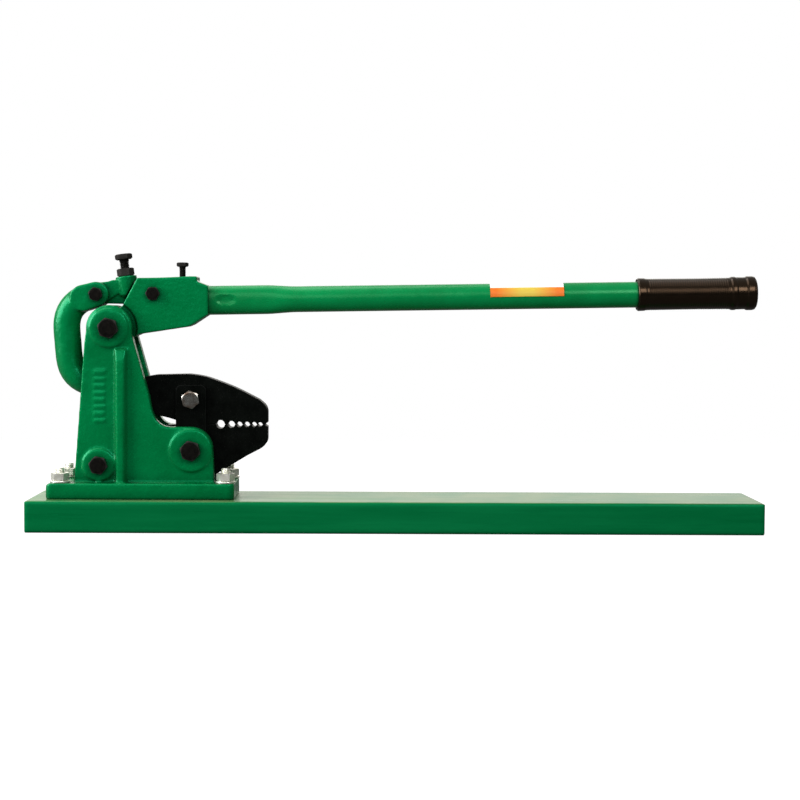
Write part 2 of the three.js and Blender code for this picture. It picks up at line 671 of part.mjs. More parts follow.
const addHookLink = (parent) => {
  const fork = prism(barShape(A, [-326, 240.5], 13, 13.7), -LINK_FORK_HALF, LINK_FORK_HALF);
  const eye = prism(barShape(P, [-303, 146], 15, 13), -TONGUE_HALF, TONGUE_HALF);
  const mouth = union([
    crossCylinder(A, LEVER_EYE.r + 1, -LEVER_EYE.half - GAP, LEVER_EYE.half + GAP, FINE),
    block(A[0], A[0] + OPEN, -LEVER_EYE.half - GAP, LEVER_EYE.half + GAP, A[1] - OPEN, A[1] + OPEN),
  ]);
  const cuts = [
    mouth,
    crossCylinder(A, M8.r + GAP, -DRILL, DRILL),
    crossCylinder(P, LINK_EYE_R, -DRILL, DRILL),
  ];
  meshOf('hook_link', cut(union([hookBar(), fork, eye]), cuts), GREEN, parent);
};

// ---------------------------------------------------------------- the whole tool

const tool = new THREE.Group();

addBoard(tool);
addBoardBolts(tool);
addCastings(tool);
addLowerJaw(tool);
addJawPlates(tool);
addUpperJaw(tool);
addHandleHead(tool);
addAdjustingLever(tool);
addScrews(tool);
addTube(tool);
addGrip(tool);
addLabel(tool);
addHookLink(tool);

addBush(tool, 'handle_pivot_bush', C, PIVOT_BUSH_R, M12.r + GAP, CHEEK.inner - GAP);
addBush(tool, 'jaw_pivot_bush', F, JAW_BUSH_R, M10.r + GAP, PLATE.inner - GAP);

addThroughBolt(tool, { name: 'handle_pivot_bolt', at: C, size: M12, seat: CHEEK.boss, turn: 0.26 });
addThroughBolt(tool, { name: 'lower_jaw_bolt', at: E, size: M12, seat: CHEEK.boss, turn: 0.26 });
addThroughBolt(tool, { name: 'rear_tie_bolt', at: D, size: M10, seat: CHEEK.boss, turn: 0.17 });
addThroughBolt(tool, {
  name: 'jaw_pivot_bolt', at: F, size: M10, seat: PLATE.outer, material: BRIGHT, turn: 0.35,
});
addThroughBolt(tool, { name: 'lever_bolt', at: B, size: M8, seat: HEAD_HALF });
addThroughBolt(tool, { name: 'link_bolt', at: A, size: M8, seat: LINK_FORK_HALF, facets: FINE, turn: 0.26 });

export default tool;
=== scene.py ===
"""Bench swager for wire rope sleeves: its finished surfaces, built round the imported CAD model.

Lengths are metres in the model's frame: X runs along the board towards the grip, Y across it with the
operator at -Y, and Z is up. Cast, forged and machined pieces are remeshed from their CAD solids, and the
fasteners, the tube, the grip and the label are built anew on their axes.
"""

import json
import math

import bmesh
import bpy
from mathutils import Matrix, Vector, noise

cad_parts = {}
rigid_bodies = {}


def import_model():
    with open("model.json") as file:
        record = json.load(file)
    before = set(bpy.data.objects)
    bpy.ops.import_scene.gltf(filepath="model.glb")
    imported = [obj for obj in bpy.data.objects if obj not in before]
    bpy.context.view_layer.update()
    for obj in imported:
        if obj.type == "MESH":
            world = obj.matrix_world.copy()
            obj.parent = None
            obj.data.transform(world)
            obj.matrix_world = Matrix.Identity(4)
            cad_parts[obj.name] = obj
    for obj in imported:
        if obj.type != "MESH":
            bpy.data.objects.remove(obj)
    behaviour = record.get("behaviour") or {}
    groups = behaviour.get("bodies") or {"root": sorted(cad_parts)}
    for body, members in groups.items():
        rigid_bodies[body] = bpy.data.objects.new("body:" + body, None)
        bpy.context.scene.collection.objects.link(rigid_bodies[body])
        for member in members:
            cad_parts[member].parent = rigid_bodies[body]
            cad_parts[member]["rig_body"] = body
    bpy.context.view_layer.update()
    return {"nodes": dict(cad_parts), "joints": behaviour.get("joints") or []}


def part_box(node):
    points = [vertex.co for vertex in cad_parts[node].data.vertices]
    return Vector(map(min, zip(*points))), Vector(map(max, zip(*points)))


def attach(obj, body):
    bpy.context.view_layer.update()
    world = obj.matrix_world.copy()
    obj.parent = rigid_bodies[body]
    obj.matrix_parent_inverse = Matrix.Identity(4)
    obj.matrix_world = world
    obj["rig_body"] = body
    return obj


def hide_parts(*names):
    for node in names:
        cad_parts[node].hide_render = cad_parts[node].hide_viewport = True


MM = 0.001
X, Y, Z = Vector((1, 0, 0)), Vector((0, 1, 0)), Vector((0, 0, 1))

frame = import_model()
joint_named = {joint["name"]: joint for joint in frame["joints"]}


# ---------------------------------------------------------------- places read from the CAD model


def middle(node):
    low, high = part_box(node)
    return (low + high) / 2


def points_of(node):
    return [vertex.co for vertex in frame["nodes"][node].data.vertices]


def span(node, origin, axis):
    """How far the node reaches along an axis, as its lowest and highest distance from the origin."""
    reach = [(point - origin).dot(axis) for point in points_of(node)]
    return min(reach), max(reach)


def corner(node, origin, axis):
    """The direction from the axis to the node's farthest corner."""
    across = [(point - origin) - axis * (point - origin).dot(axis) for point in points_of(node)]
    return max(across, key=lambda offset: offset.length).normalized()


# ---------------------------------------------------------------- meshes and pieces


def add_object(name, data):
    piece = bpy.data.objects.new(name, data)
    bpy.context.scene.collection.objects.link(piece)
    return piece


def stand_for(piece, node, material):
    """The piece takes the CAD node's place, on its body and in its material slot."""
    piece.data.materials.clear()
    piece.data.materials.append(material)
    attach(piece, frame["nodes"][node]["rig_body"])
    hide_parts(node)
    return piece


def apply_modifiers(piece):
    graph = bpy.context.evaluated_depsgraph_get()
    mesh = bpy.data.meshes.new_from_object(piece.evaluated_get(graph))
    piece.modifiers.clear()
    piece.data = mesh


def shade(mesh, sharp_angle):
    mesh.shade_smooth()
    mesh.set_sharp_from_angle(angle=math.radians(sharp_angle))


def loft(name, rings, closed=False, sharp_angle=38):
    """A skin over rings of equally many points. Its two ends are capped, or joined if it is closed."""
    count = len(rings[0])
    vertices = [point for ring in rings for point in ring]
    faces = []
    for i in range(len(rings) if closed else len(rings) - 1):
        here, there = i * count, (i + 1) % len(rings) * count
        for j in range(count):
            k = (j + 1) % count
            faces.append((here + j, here + k, there + k, there + j))
    if not closed:
        faces.append(tuple(range(count)))
        faces.append(tuple(range(len(vertices) - count, len(vertices))))
    mesh = bpy.data.meshes.new(name)
    mesh.from_pydata(vertices, [], faces)
    sculpt = bmesh.new()
    sculpt.from_mesh(mesh)
    bmesh.ops.recalc_face_normals(sculpt, faces=sculpt.faces)
    sculpt.to_mesh(mesh)
    sculpt.free()
    shade(mesh, sharp_angle)
    return mesh


def turned(name, profile, around=48, closed=False, sharp_angle=38):
    """A loft about Z. Each entry of the profile gives a radius and a height at an angle."""
    rings = []
    for entry in profile:
        ring = []
        for j in range(around):
            angle = math.tau * j / around
            radius, height = entry(angle)
            ring.append((radius * math.cos(angle), radius * math.sin(angle), height))
        rings.append(ring)
    return loft(name, rings, closed, sharp_angle)


def circle(radius, height):
    return lambda angle: (radius, height)


def place(mesh, origin, axis, ahead):
    """Moves a mesh built about Z so that Z lies along the axis, and X ahead."""
    side = axis.cross(ahead)
    turn = Matrix((ahead, side, axis)).transposed().to_4x4()
    mesh.transform(Matrix.Translation(origin) @ turn)


# ---------------------------------------------------------------- materials


def node(tree, kind, inputs=None, **settings):
    """Adds a shader node. An input may be a value or another node's output."""
    made = tree.nodes.new(kind)
    for name, value in settings.items():
        setattr(made, name, value)
    for name, value in (inputs or {}).items():
        if isinstance(value, bpy.types.NodeSocket):
            tree.links.new(value, made.inputs[name])
        else:
            made.inputs[name].default_value = value
    return made


def colour(red, green, blue):
    return (red, green, blue, 1.0)


def mix(tree, factor, first, second):
    """The first colour where the factor is 0, the second where it is 1."""
    return node(tree, "ShaderNodeMix", {0: factor, 6: first, 7: second}, data_type="RGBA").outputs[2]


def ramp(tree, value, low, high, out_low=0.0, out_high=1.0):
    inputs = {"Value": value, "From Min": low, "From Max": high, "To Min": out_low, "To Max": out_high}
    return node(tree, "ShaderNodeMapRange", inputs).outputs["Result"]


def calc(tree, operation, first, second):
    return node(tree, "ShaderNodeMath", {0: first, 1: second}, operation=operation).outputs[0]


def grain(tree, scale, detail=4.0, stretch=(1, 1, 1), roughness=0.5):
    """Noise over the object's own coordinates, with its scale in features per metre."""
    coordinates = node(tree, "ShaderNodeTexCoord").outputs["Object"]
    mapped = node(tree, "ShaderNodeMapping", {"Vector": coordinates, "Scale": stretch}).outputs[0]
    inputs = {"Vector": mapped, "Scale": scale, "Detail": detail, "Roughness": roughness}
    return node(tree, "ShaderNodeTexNoise", inputs).outputs["Fac"]


def bump(tree, height, depth, strength=1.0, below=None):
    """Turns a height from 0 to 1 into a normal, depth metres high, over another bump if there is one."""
    inputs = {"Height": height, "Distance": depth, "Strength": strength}
    if below:
        inputs["Normal"] = below
    return node(tree, "ShaderNodeBump", inputs).outputs["Normal"]


def material(name):
    made = bpy.data.materials.new(name)
    made.use_nodes = True
    return made, made.node_tree, made.node_tree.nodes["Principled BSDF"]


def finish_shader(tree, shader, links, values):
    for name, output in links.items():
        tree.links.new(output, shader.inputs[name])
    for name, value in values.items():
        shader.inputs[name].default_value = value


def edges(tree, low, high):
    """1 on convex edges and 0 on flat and hollow surfaces."""
    return ramp(tree, node(tree, "ShaderNodeNewGeometry").outputs["Pointiness"], low, high)


def painted_corner_shade(tree, distance):
    """Painted shade: 0 on open surfaces, rising to 1 deep in corners and behind things closer than the
    distance.
    """
    near = node(tree, "ShaderNodeAmbientOcclusion", {"Distance": distance}, samples=12).outputs["AO"]
    return ramp(tree, near, 0.35, 0.95, 1.0, 0.0)


def paint_material(name, cast):
    """Glossy green enamel. On castings it is darker, over a sandy skin. Painted shade darkens its hollows and
    corners, and it thins to a paler edge that is partly a painted edge highlight.
    """
    made, tree, shader = material(name)
    broad = grain(tree, 28, 3)
    depth = 1.0 if cast else 1.40
    deep, pale = colour(0.0, depth * 0.122, depth * 0.030), colour(0.0, depth * 0.155, depth * 0.041)
    tone = mix(tree, ramp(tree, broad, 0.3, 0.7), deep, pale)
    # Painted shade: hollows and inside corners are darkened.
    hollow = edges(tree, 0.49, 0.42)
    tone = mix(tree, calc(tree, "MULTIPLY", hollow, 0.6), tone, colour(0.0, 0.045, 0.014))
    # Painted shade: the enamel darkens in corners and next to nearby parts, where shade would fall.
    tone = mix(tree, calc(tree, "MULTIPLY", painted_corner_shade(tree, 15 * MM), 0.88), tone, colour(0.0, 0.022, 0.006))
    # Paint thinning on convex edges, partly a painted edge highlight: edges turn a paler, brighter green in
    # patches.
    thin_paint_and_edge_highlight = calc(tree, "MULTIPLY", edges(tree, 0.53, 0.60), ramp(tree, grain(tree, 160, 5), 0.35, 0.6))
    tone = mix(tree, calc(tree, "MULTIPLY", thin_paint_and_edge_highlight, 0.45), tone, colour(0.01, 0.33, 0.14))
    rough = ramp(tree, grain(tree, 120, 5), 0.3, 0.7, 0.20, 0.32)
    normal = bump(tree, grain(tree, 230 if cast else 90, 3), (0.35 if cast else 0.08) * MM)
    normal = bump(tree, grain(tree, 900, 3), (0.06 if cast else 0.02) * MM, below=normal)
    links = {"Base Color": tone, "Roughness": rough, "Normal": normal}
    values = {"Specular IOR Level": 0.45, "Specular Tint": colour(0.05 if cast else 0.3, 1.0, 0.5)}
    finish_shader(tree, shader, links, values)
    return made


def board_material():
    """Satin green paint over softwood, whose grain shows through along X."""
    made, tree, shader = material("board_paint_wood")
    streaks = grain(tree, 60, 6, (0.07, 1, 1), 0.65)
    fine = grain(tree, 420, 4, (0.04, 1, 1), 0.6)
    tone = mix(tree, ramp(tree, streaks, 0.3, 0.7), colour(0.0, 0.106, 0.028), colour(0.002, 0.146, 0.042))
    tone = mix(tree, ramp(tree, fine, 0.55, 0.75, 0, 0.25), tone, colour(0.0, 0.07, 0.022))
    # Faces that point upwards turn paler, towards beige, in broad patches.
    facing = node(tree, "ShaderNodeNewGeometry").outputs["Normal"]
    upward = ramp(tree, node(tree, "ShaderNodeSeparateXYZ", {"Vector": facing}).outputs["Z"], 0.7, 0.95)
    paler_upward_patches = calc(tree, "MULTIPLY", upward, ramp(tree, grain(tree, 22, 6), 0.36, 0.64, 0.05, 0.32))
    tone = mix(tree, paler_upward_patches, tone, colour(0.30, 0.27, 0.13))
    worn = calc(tree, "MULTIPLY", edges(tree, 0.55, 0.66), ramp(tree, grain(tree, 70, 6), 0.52, 0.66))
    tone = mix(tree, calc(tree, "MULTIPLY", worn, 0.5), tone, colour(0.36, 0.36, 0.22))
    rough = ramp(tree, streaks, 0.3, 0.7, 0.26, 0.36)
    normal = bump(tree, streaks, 0.25 * MM)
    normal = bump(tree, fine, 0.08 * MM, below=normal)
    links = {"Base Color": tone, "Roughness": rough, "Normal": normal}
    finish_shader(tree, shader, links, {"Specular IOR Level": 0.25, "Specular Tint": colour(0.05, 1.0, 0.5)})
    return made


def steel_material(name, dark, light, roughness, wear, metallic=1.0, scale=260):
    """Steel whose tone varies between dark and light, with fine pits and brighter rubbed edges."""
    made, tree, shader = material(name)
    tone = mix(tree, ramp(tree, grain(tree, scale, 6), 0.35, 0.65), colour(*dark), colour(*light))
    rubbed = calc(tree, "MULTIPLY", edges(tree, 0.53, 0.62), wear)
    tone = mix(tree, rubbed, tone, colour(0.42, 0.40, 0.38))
    rough = ramp(tree, grain(tree, scale * 0.6, 5), 0.3, 0.7, roughness * 0.8, roughness * 1.2)
    normal = bump(tree, grain(tree, scale * 3, 3), 0.05 * MM)
    links = {"Base Color": tone, "Roughness": rough, "Normal": normal}
    finish_shader(tree, shader, links, {"Metallic": metallic, "Specular IOR Level": 0.04})
    return made


def jaw_material():
    """Black oxide over forged steel: nearly black, with a scatter of fine pale specks."""
    made, tree, shader = material("jaw_black_oxide")
    patches = ramp(tree, grain(tree, 90, 5), 0.3, 0.7)
    tone = mix(tree, patches, colour(0.0012, 0.0016, 0.0013), colour(0.0030, 0.0038, 0.0032))
    specks = ramp(tree, grain(tree, 1100, 2), 0.66, 0.74)
    tone = mix(tree, calc(tree, "MULTIPLY", specks, 0.5), tone, colour(0.03, 0.03, 0.028))
    rubbed = calc(tree, "MULTIPLY", edges(tree, 0.53, 0.62), 0.35)
    tone = mix(tree, rubbed, tone, colour(0.14, 0.14, 0.14))
    rough = ramp(tree, grain(tree, 300, 5), 0.3, 0.7, 0.30, 0.42)
    normal = bump(tree, grain(tree, 450, 4), 0.10 * MM)
    links = {"Base Color": tone, "Roughness": rough, "Normal": normal}
    finish_shader(tree, shader, links, {"Specular IOR Level": 0.02})
    return made


def rubber_material():
    """Polished black rubber, whose reflections are warm."""
    made, tree, shader = material("grip_rubber_black")
    patches = ramp(tree, grain(tree, 150, 5), 0.3, 0.7)
    tone = mix(tree, patches, colour(0.0012, 0.0011, 0.0008), colour(0.0028, 0.0024, 0.0018))
    rough = ramp(tree, grain(tree, 400, 4), 0.3, 0.7, 0.18, 0.26)
    normal = bump(tree, grain(tree, 1400, 3), 0.03 * MM)
    links = {"Base Color": tone, "Roughness": rough, "Normal": normal}
    finish_shader(tree, shader, links, {"Specular IOR Level": 0.37, "Specular Tint": colour(1.0, 0.62, 0.38)})
    return made


def label_material():
    """Printed film: a white strip along its top edge over an orange strip that is yellow in the middle."""
    made, tree, shader = material("label_film_print")
    along = node(tree, "ShaderNodeAttribute", attribute_name="along").outputs["Fac"]
    around = node(tree, "ShaderNodeAttribute", attribute_name="around").outputs["Fac"]
    from_middle = calc(tree, "ABSOLUTE", calc(tree, "SUBTRACT", along, 0.5), 0.0)
    yellow, orange = colour(0.66, 0.48, 0.060), colour(0.76, 0.165, 0.012)
    strip = mix(tree, ramp(tree, from_middle, 0.08, 0.42), yellow, orange)
    white = ramp(tree, around, 0.61, 0.65, 1.0, 0.0)
    tone = mix(tree, white, strip, colour(0.85, 0.85, 0.83))
    tone = mix(tree, ramp(tree, grain(tree, 300, 4), 0.3, 0.7, 0, 0.05), tone, colour(0.5, 0.4, 0.2))
    rough = ramp(tree, grain(tree, 200, 4), 0.3, 0.7, 0.3, 0.45)
    normal = bump(tree, grain(tree, 250, 2), 0.03 * MM)
    links = {"Base Color": tone, "Roughness": rough, "Normal": normal}
    finish_shader(tree, shader, links, {"Specular IOR Level": 0.2})
    return made


CAST_PAINT = paint_material("green_enamel_cast", True)
SMOOTH_PAINT = paint_material("green_enamel_tube", False)
BOARD_PAINT = board_material()
JAW_BLACK = jaw_material()
BOLT_BLACK = steel_material(
    "bolt_black_oxide", (0.003, 0.0028, 0.0025), (0.007, 0.006, 0.005), 0.42, metallic=0.1, wear=0.1
)
ZINC = steel_material("zinc_plate", (0.80, 0.80, 0.70), (0.95, 0.95, 0.88), 0.32, metallic=0.80, wear=0.1)
BRIGHT = steel_material("bright_steel", (0.10, 0.05, 0.025), (0.36, 0.37, 0.35), 0.22, scale=110, wear=0.2)
RUBBER = rubber_material()
LABEL_PRINT = label_material()


# ---------------------------------------------------------------- pieces remeshed from their CAD solids


def ripple(mesh, height, size):
    """Raises and lowers the skin by up to the height, in soft waves of that size."""
    for vertex, normal in zip(mesh.vertices, [v.normal.copy() for v in mesh.vertices]):
        vertex.co += normal * (height * noise.noise(vertex.co / size))


def softened(cad_node, material_used, voxel, rounds, waves=0.0):
    """Remeshes a CAD solid finely and smooths it, so that its edges and inner corners are rounded."""
    piece = add_object(f"{cad_node}_surface", frame["nodes"][cad_node].data.copy())
    remesh = piece.modifiers.new("remesh", "REMESH")
    remesh.mode = "VOXEL"
    remesh.voxel_size = voxel
    smooth = piece.modifiers.new("smooth", "SMOOTH")
    smooth.factor = 0.5
    smooth.iterations = rounds
    apply_modifiers(piece)
    if waves:
        ripple(piece.data, waves, 7 * MM)
    piece.data.shade_smooth()
    return stand_for(piece, cad_node, material_used)


for side in ("front", "rear"):
    softened(f"{side}_side_casting", CAST_PAINT, 1.1 * MM, 12, 0.12 * MM)
    softened(f"{side}_jaw_plate", JAW_BLACK, 0.5 * MM, 3)
softened("hook_link", CAST_PAINT, 1.0 * MM, 12, 0.10 * MM)
softened("handle_head", CAST_PAINT, 0.8 * MM, 7, 0.08 * MM)
softened("adjusting_lever", CAST_PAINT, 0.7 * MM, 5, 0.06 * MM)
softened("upper_jaw", JAW_BLACK, 0.5 * MM, 4)
softened("lower_jaw", JAW_BLACK, 0.5 * MM, 4)
softened("base_board", BOARD_PAINT, 2.0 * MM, 2)


# ---------------------------------------------------------------- bolts, nuts, washers, bushes and the pin

THREAD_ROWS = 6  # rows of points to one turn of a thread
RIM = 0.475  # radius of the flat part of a hexagon's end faces, to its width across flats


def hex_size(radius, pitch, flats, head):
    return {"radius": radius * MM, "pitch": pitch * MM, "flats": flats * MM, "head": head * MM}


M12 = hex_size(6, 1.75, 19, 7.5)
M10 = hex_size(5, 1.5, 17, 6.4)
M8 = hex_size(4, 1.25, 13, 5.3)
M7 = hex_size(3.5, 1.0, 11, 4.5)
ADJUSTER = hex_size(5, 1.5, 16, 6)


def hexagon(flats):
    """The radius of a hexagon at an angle, its corners at sixths of a turn and slightly rounded."""

    def radius(angle):
        exact = flats / 2 / math.cos(angle % (math.pi / 3) - math.pi / 6)
        return min(exact, 0.985 * flats / math.sqrt(3))

    return radius


def hex_band(flats, low, high, rim):
    """The two rings round a hexagon's sides, cut back by cones that leave a round rim on each end face."""
    radius = hexagon(flats)
    slope = math.tan(math.radians(30))

    def cut(angle):
        return max(0.0, radius(angle) - rim) * slope

    return [lambda angle: (radius(angle), low + cut(angle)), lambda angle: (radius(angle), high - cut(angle))]


def thread(size, low, high):
    """Rings of a screw thread from its tip at low up to high."""
    depth = 0.61 * size["pitch"]
    core = size["radius"] - 1.3 * depth

    def ring_at(height):
        def ring(angle):
            turn = (height / size["pitch"] - angle / math.tau) % 1
            dip = depth * min(max(1.25 * (1 - abs(2 * turn - 1)) - 0.12, 0), 1)
            return min(size["radius"] - dip, core + (height - low)), height

        return ring

    step = size["pitch"] / THREAD_ROWS
    return [ring_at(low + i * step) for i in range(int((high - low) / step) + 1)]


def bolt_mesh(name, size, tip, threaded):
    """A hexagon bolt whose head stands on height 0 and whose shank hangs down to the tip."""
    radius, flats, head = size["radius"], size["flats"], size["head"]
    rim = RIM * flats
    thread_end = min(tip + threaded, -1.2 * MM)
    profile = thread(size, tip, thread_end)
    profile += [
        circle(radius, thread_end + 0.6 * MM),
        circle(radius, -0.3 * MM),
        circle(radius + 0.3 * MM, 0),
        circle(rim, 0),
        circle(rim, 0.25 * MM),
        *hex_band(flats, 0.25 * MM, head - 0.15 * MM, rim),
        circle(rim, head - 0.15 * MM),
        circle(0.9 * rim, head - 0.03 * MM),
        circle(0.45 * rim, head),
    ]
    return turned(name, profile)


def nut_mesh(name, size, height):
    """A hexagon nut that stands on height 0, its bore wide enough to clear the thread."""
    radius, flats = size["radius"], size["flats"]
    rim = RIM * flats
    profile = [
        circle(radius + 0.6 * MM, 0),
        circle(rim, 0),
        *hex_band(flats, 0, height, rim),
        circle(rim, height),
        circle(radius + 0.6 * MM, height),
        circle(radius + 0.15 * MM, height - 0.6 * MM),
        circle(radius + 0.15 * MM, 0.6 * MM),
    ]
    return turned(name, profile, closed=True)


def collar_mesh(name, inner, outer, low, high, edge):
    """A ring with its four edges rounded off: a washer or a bush."""
    profile = [
        circle(inner + edge, low),
        circle(outer - edge, low),
        circle(outer - 0.3 * edge, low + 0.3 * edge),
        circle(outer, low + edge),
        circle(outer, high - edge),
        circle(outer - 0.3 * edge, high - 0.3 * edge),
        circle(outer - edge, high),
        circle(inner + edge, high),
        circle(inner, high - edge),
        circle(inner, low + edge),
    ]
    return turned(name, profile, 64, closed=True)


def add_bolt(cad_node, size, origin, axis, material_used, threaded=18 * MM):
    """A bolt in the place of its CAD node, with its head towards the axis."""
    tip, top = span(cad_node, origin, axis)
    seat = top - size["head"]
    mesh = bolt_mesh(cad_node, size, tip - seat, threaded)
    place(mesh, origin + axis * seat, axis, corner(cad_node, origin, axis))
    stand_for(add_object(f"{cad_node}_surface", mesh), cad_node, material_used)


def add_nut(cad_node, size, origin, axis, material_used):
    low, high = span(cad_node, origin, axis)
    mesh = nut_mesh(cad_node, size, high - low)
    place(mesh, origin + axis * low, axis, corner(cad_node, origin, axis))
    stand_for(add_object(f"{cad_node}_surface", mesh), cad_node, material_used)


def add_collar(cad_node, inner, axis, material_used, edge):
    origin = middle(cad_node)
    low, high = span(cad_node, origin, axis)
    across = Z if axis == Y else X
    outer = span(cad_node, origin, across)[1]
    mesh = collar_mesh(cad_node, inner, outer, low, high, edge)
    place(mesh, origin, axis, across)
    stand_for(add_object(f"{cad_node}_surface", mesh), cad_node, material_used)


THROUGH_BOLTS = {
    "handle_pivot_bolt": (M12, BOLT_BLACK),
    "lower_jaw_bolt": (M12, BOLT_BLACK),
    "rear_tie_bolt": (M10, BOLT_BLACK),
    "jaw_pivot_bolt": (M10, BRIGHT),
    "lever_bolt": (M8, BOLT_BLACK),
    "link_bolt": (M8, BOLT_BLACK),
}
for bolt, (size, steel) in THROUGH_BOLTS.items():
    add_bolt(bolt, size, middle(bolt), -Y, steel)
    add_nut(f"{bolt}_nut", size, middle(bolt), Y, steel)

for corner_name in ("front_left", "rear_left", "front_right", "rear_right"):
    at = middle(f"base_bolt_{corner_name}")
    add_bolt(f"base_bolt_{corner_name}", M10, at, -Z, ZINC)
    add_collar(f"base_washer_{corner_name}", 5.3 * MM, Z, ZINC, 0.3 * MM)
    add_nut(f"base_nut_{corner_name}", M10, at, Z, ZINC)

screw_joint = joint_named["adjusting_screw_turn"]
screw_origin = Vector(screw_joint["pos_m"])
screw_axis = Vector(screw_joint["axis"]).normalized()
add_bolt("adjusting_screw", ADJUSTER, screw_origin, screw_axis, BOLT_BLACK, 47 * MM)
add_nut("adjusting_lock_nut", ADJUSTER, screw_origin, screw_axis, BOLT_BLACK)
add_bolt("clamp_screw", M7, middle("clamp_screw"), Z, BOLT_BLACK)

add_collar("handle_pivot_bush", 6.3 * MM, Y, BRIGHT, 0.4 * MM)
add_collar("jaw_pivot_bush", 5.3 * MM, Y, BRIGHT, 0.4 * MM)
add_collar("link_pin", 1.2 * MM, Y, BRIGHT, 0.6 * MM)


# ---------------------------------------------------------------- handle tube, grip and label

TUBE_RADIUS = 13.6 * MM
TUBE_WALL = 2.8 * MM
SOCKET_DEPTH = 39.7 * MM  # how much of the tube is inside the head
FLAT = {"half_height": 15.2 * MM, "half_width": 12.2 * MM, "end": 58 * MM, "taper": 92 * MM}
DIMPLE = {"at": 18 * MM, "half_length": 10.5 * MM, "half_height": 5.2 * MM, "depth": 1.6 * MM}


def end_of_tube(high):
    """The middle of one end of the CAD tube."""
    low_x, high_x = span("handle_tube", Vector(), X)
    edge = high_x if high else low_x
    ring = [point for point in points_of("handle_tube") if abs(point.x - edge) < 1 * MM]
    return sum(ring, Vector()) / len(ring)


tube_start, tube_end = end_of_tube(False), end_of_tube(True)
handle_along = (tube_end - tube_start).normalized()
handle_up = (-Y).cross(handle_along)
socket_mouth = tube_start + handle_along * SOCKET_DEPTH
tube_length = (tube_end - socket_mouth).length


def on_handle(s, y, z):
    """A point at distance s from the head's socket, y across the handle and z above its axis."""
    return socket_mouth + handle_along * s + Y * y + handle_up * z


def ease(value):
    value = min(max(value, 0.0), 1.0)
    return value * value * (3 - 2 * value)


def tube_ring(s, inset, around=64):
    flat = 1 - ease((s - FLAT["end"]) / (FLAT["taper"] - FLAT["end"]))
    height = TUBE_RADIUS + (FLAT["half_height"] - TUBE_RADIUS) * flat - inset
    width = TUBE_RADIUS + (FLAT["half_width"] - TUBE_RADIUS) * flat - inset
    power = 1 - 0.2 * flat
    ring = []
    for j in range(around):
        angle = math.tau * j / around
        y = width * math.copysign(abs(math.cos(angle)) ** power, math.cos(angle))
        z = height * math.copysign(abs(math.sin(angle)) ** power, math.sin(angle))
        reach = ((s - DIMPLE["at"]) / DIMPLE["half_length"]) ** 2 + (z / DIMPLE["half_height"]) ** 2
        if y < 0:
            y += DIMPLE["depth"] * ease(1.3 - reach)
        ring.append(on_handle(s, y, z))
    return ring


def add_tube():
    stations = [-SOCKET_DEPTH + i * MM for i in range(int((SOCKET_DEPTH + FLAT["taper"]) / MM) + 2)]
    far = stations[-1]
    stations += [far + (tube_length - far) * i / 40 for i in range(1, 41)]
    outer = [tube_ring(s, 0) for s in stations]
    inner = [tube_ring(s, TUBE_WALL) for s in stations]
    mesh = loft("handle_tube", outer + inner[::-1], closed=True)
    stand_for(add_object("handle_tube_surface", mesh), "handle_tube", SMOOTH_PAINT)


GRIP_CAP = 4 * MM
GRIP_BORE = TUBE_RADIUS + 0.3 * MM
RIB = {"pitch": 2.4 * MM, "height": 0.45 * MM, "from_start": 11 * MM, "from_end": 29 * MM}


def grip_radius(s, start, end):
    """The grip's outer radius: a rolled mouth, a ribbed barrel, a ring and a beaded end."""
    keys = [
        (start, 16.3), (start + 1.5 * MM, 17.3), (start + 7 * MM, 17.2), (start + 10 * MM, 16.6),
        ((start + end) / 2, 16.4), (end - 27.5 * MM, 16.6), (end - 25 * MM, 17.6), (end - 22.5 * MM, 17.6),
        (end - 20 * MM, 17.0), (end - 11.5 * MM, 16.9), (end - 9 * MM, 17.9), (end - 4 * MM, 17.9),
        (end - 1.5 * MM, 17.4), (end, 15.6),
    ]
    radius = keys[-1][1]
    for (s0, r0), (s1, r1) in zip(keys, keys[1:]):
        if s0 <= s <= s1:
            radius = r0 + (r1 - r0) * ease((s - s0) / (s1 - s0))
            break
    radius *= MM
    inside = ease((s - start - RIB["from_start"]) / MM) * ease((end - RIB["from_end"] - s) / MM)
    ridge = 0.5 - 0.5 * math.cos(math.tau * s / RIB["pitch"])
    return radius - inside * RIB["height"] * (1 - ridge**0.6)


def add_grip():
    start, end = span("handle_grip", socket_mouth, handle_along)
    steps = 420
    outer = [start + (end - start) * i / steps for i in range(steps + 1)]
    profile = [circle(grip_radius(s, start, end), s) for s in outer]
    profile += [circle(10 * MM, end), circle(4 * MM, end), circle(0.4 * MM, end)]
    profile += [circle(0.4 * MM, end - GRIP_CAP), circle(GRIP_BORE, end - GRIP_CAP), circle(GRIP_BORE, start)]
    mesh = turned("handle_grip", profile, 64, closed=True, sharp_angle=50)
    place(mesh, socket_mouth, handle_along, handle_up)
    stand_for(add_object("handle_grip_surface", mesh), "handle_grip", RUBBER)


LABEL = {"inner": 13.85 * MM, "outer": 14.2 * MM, "behind": -20, "front": 92}  # angles in degrees


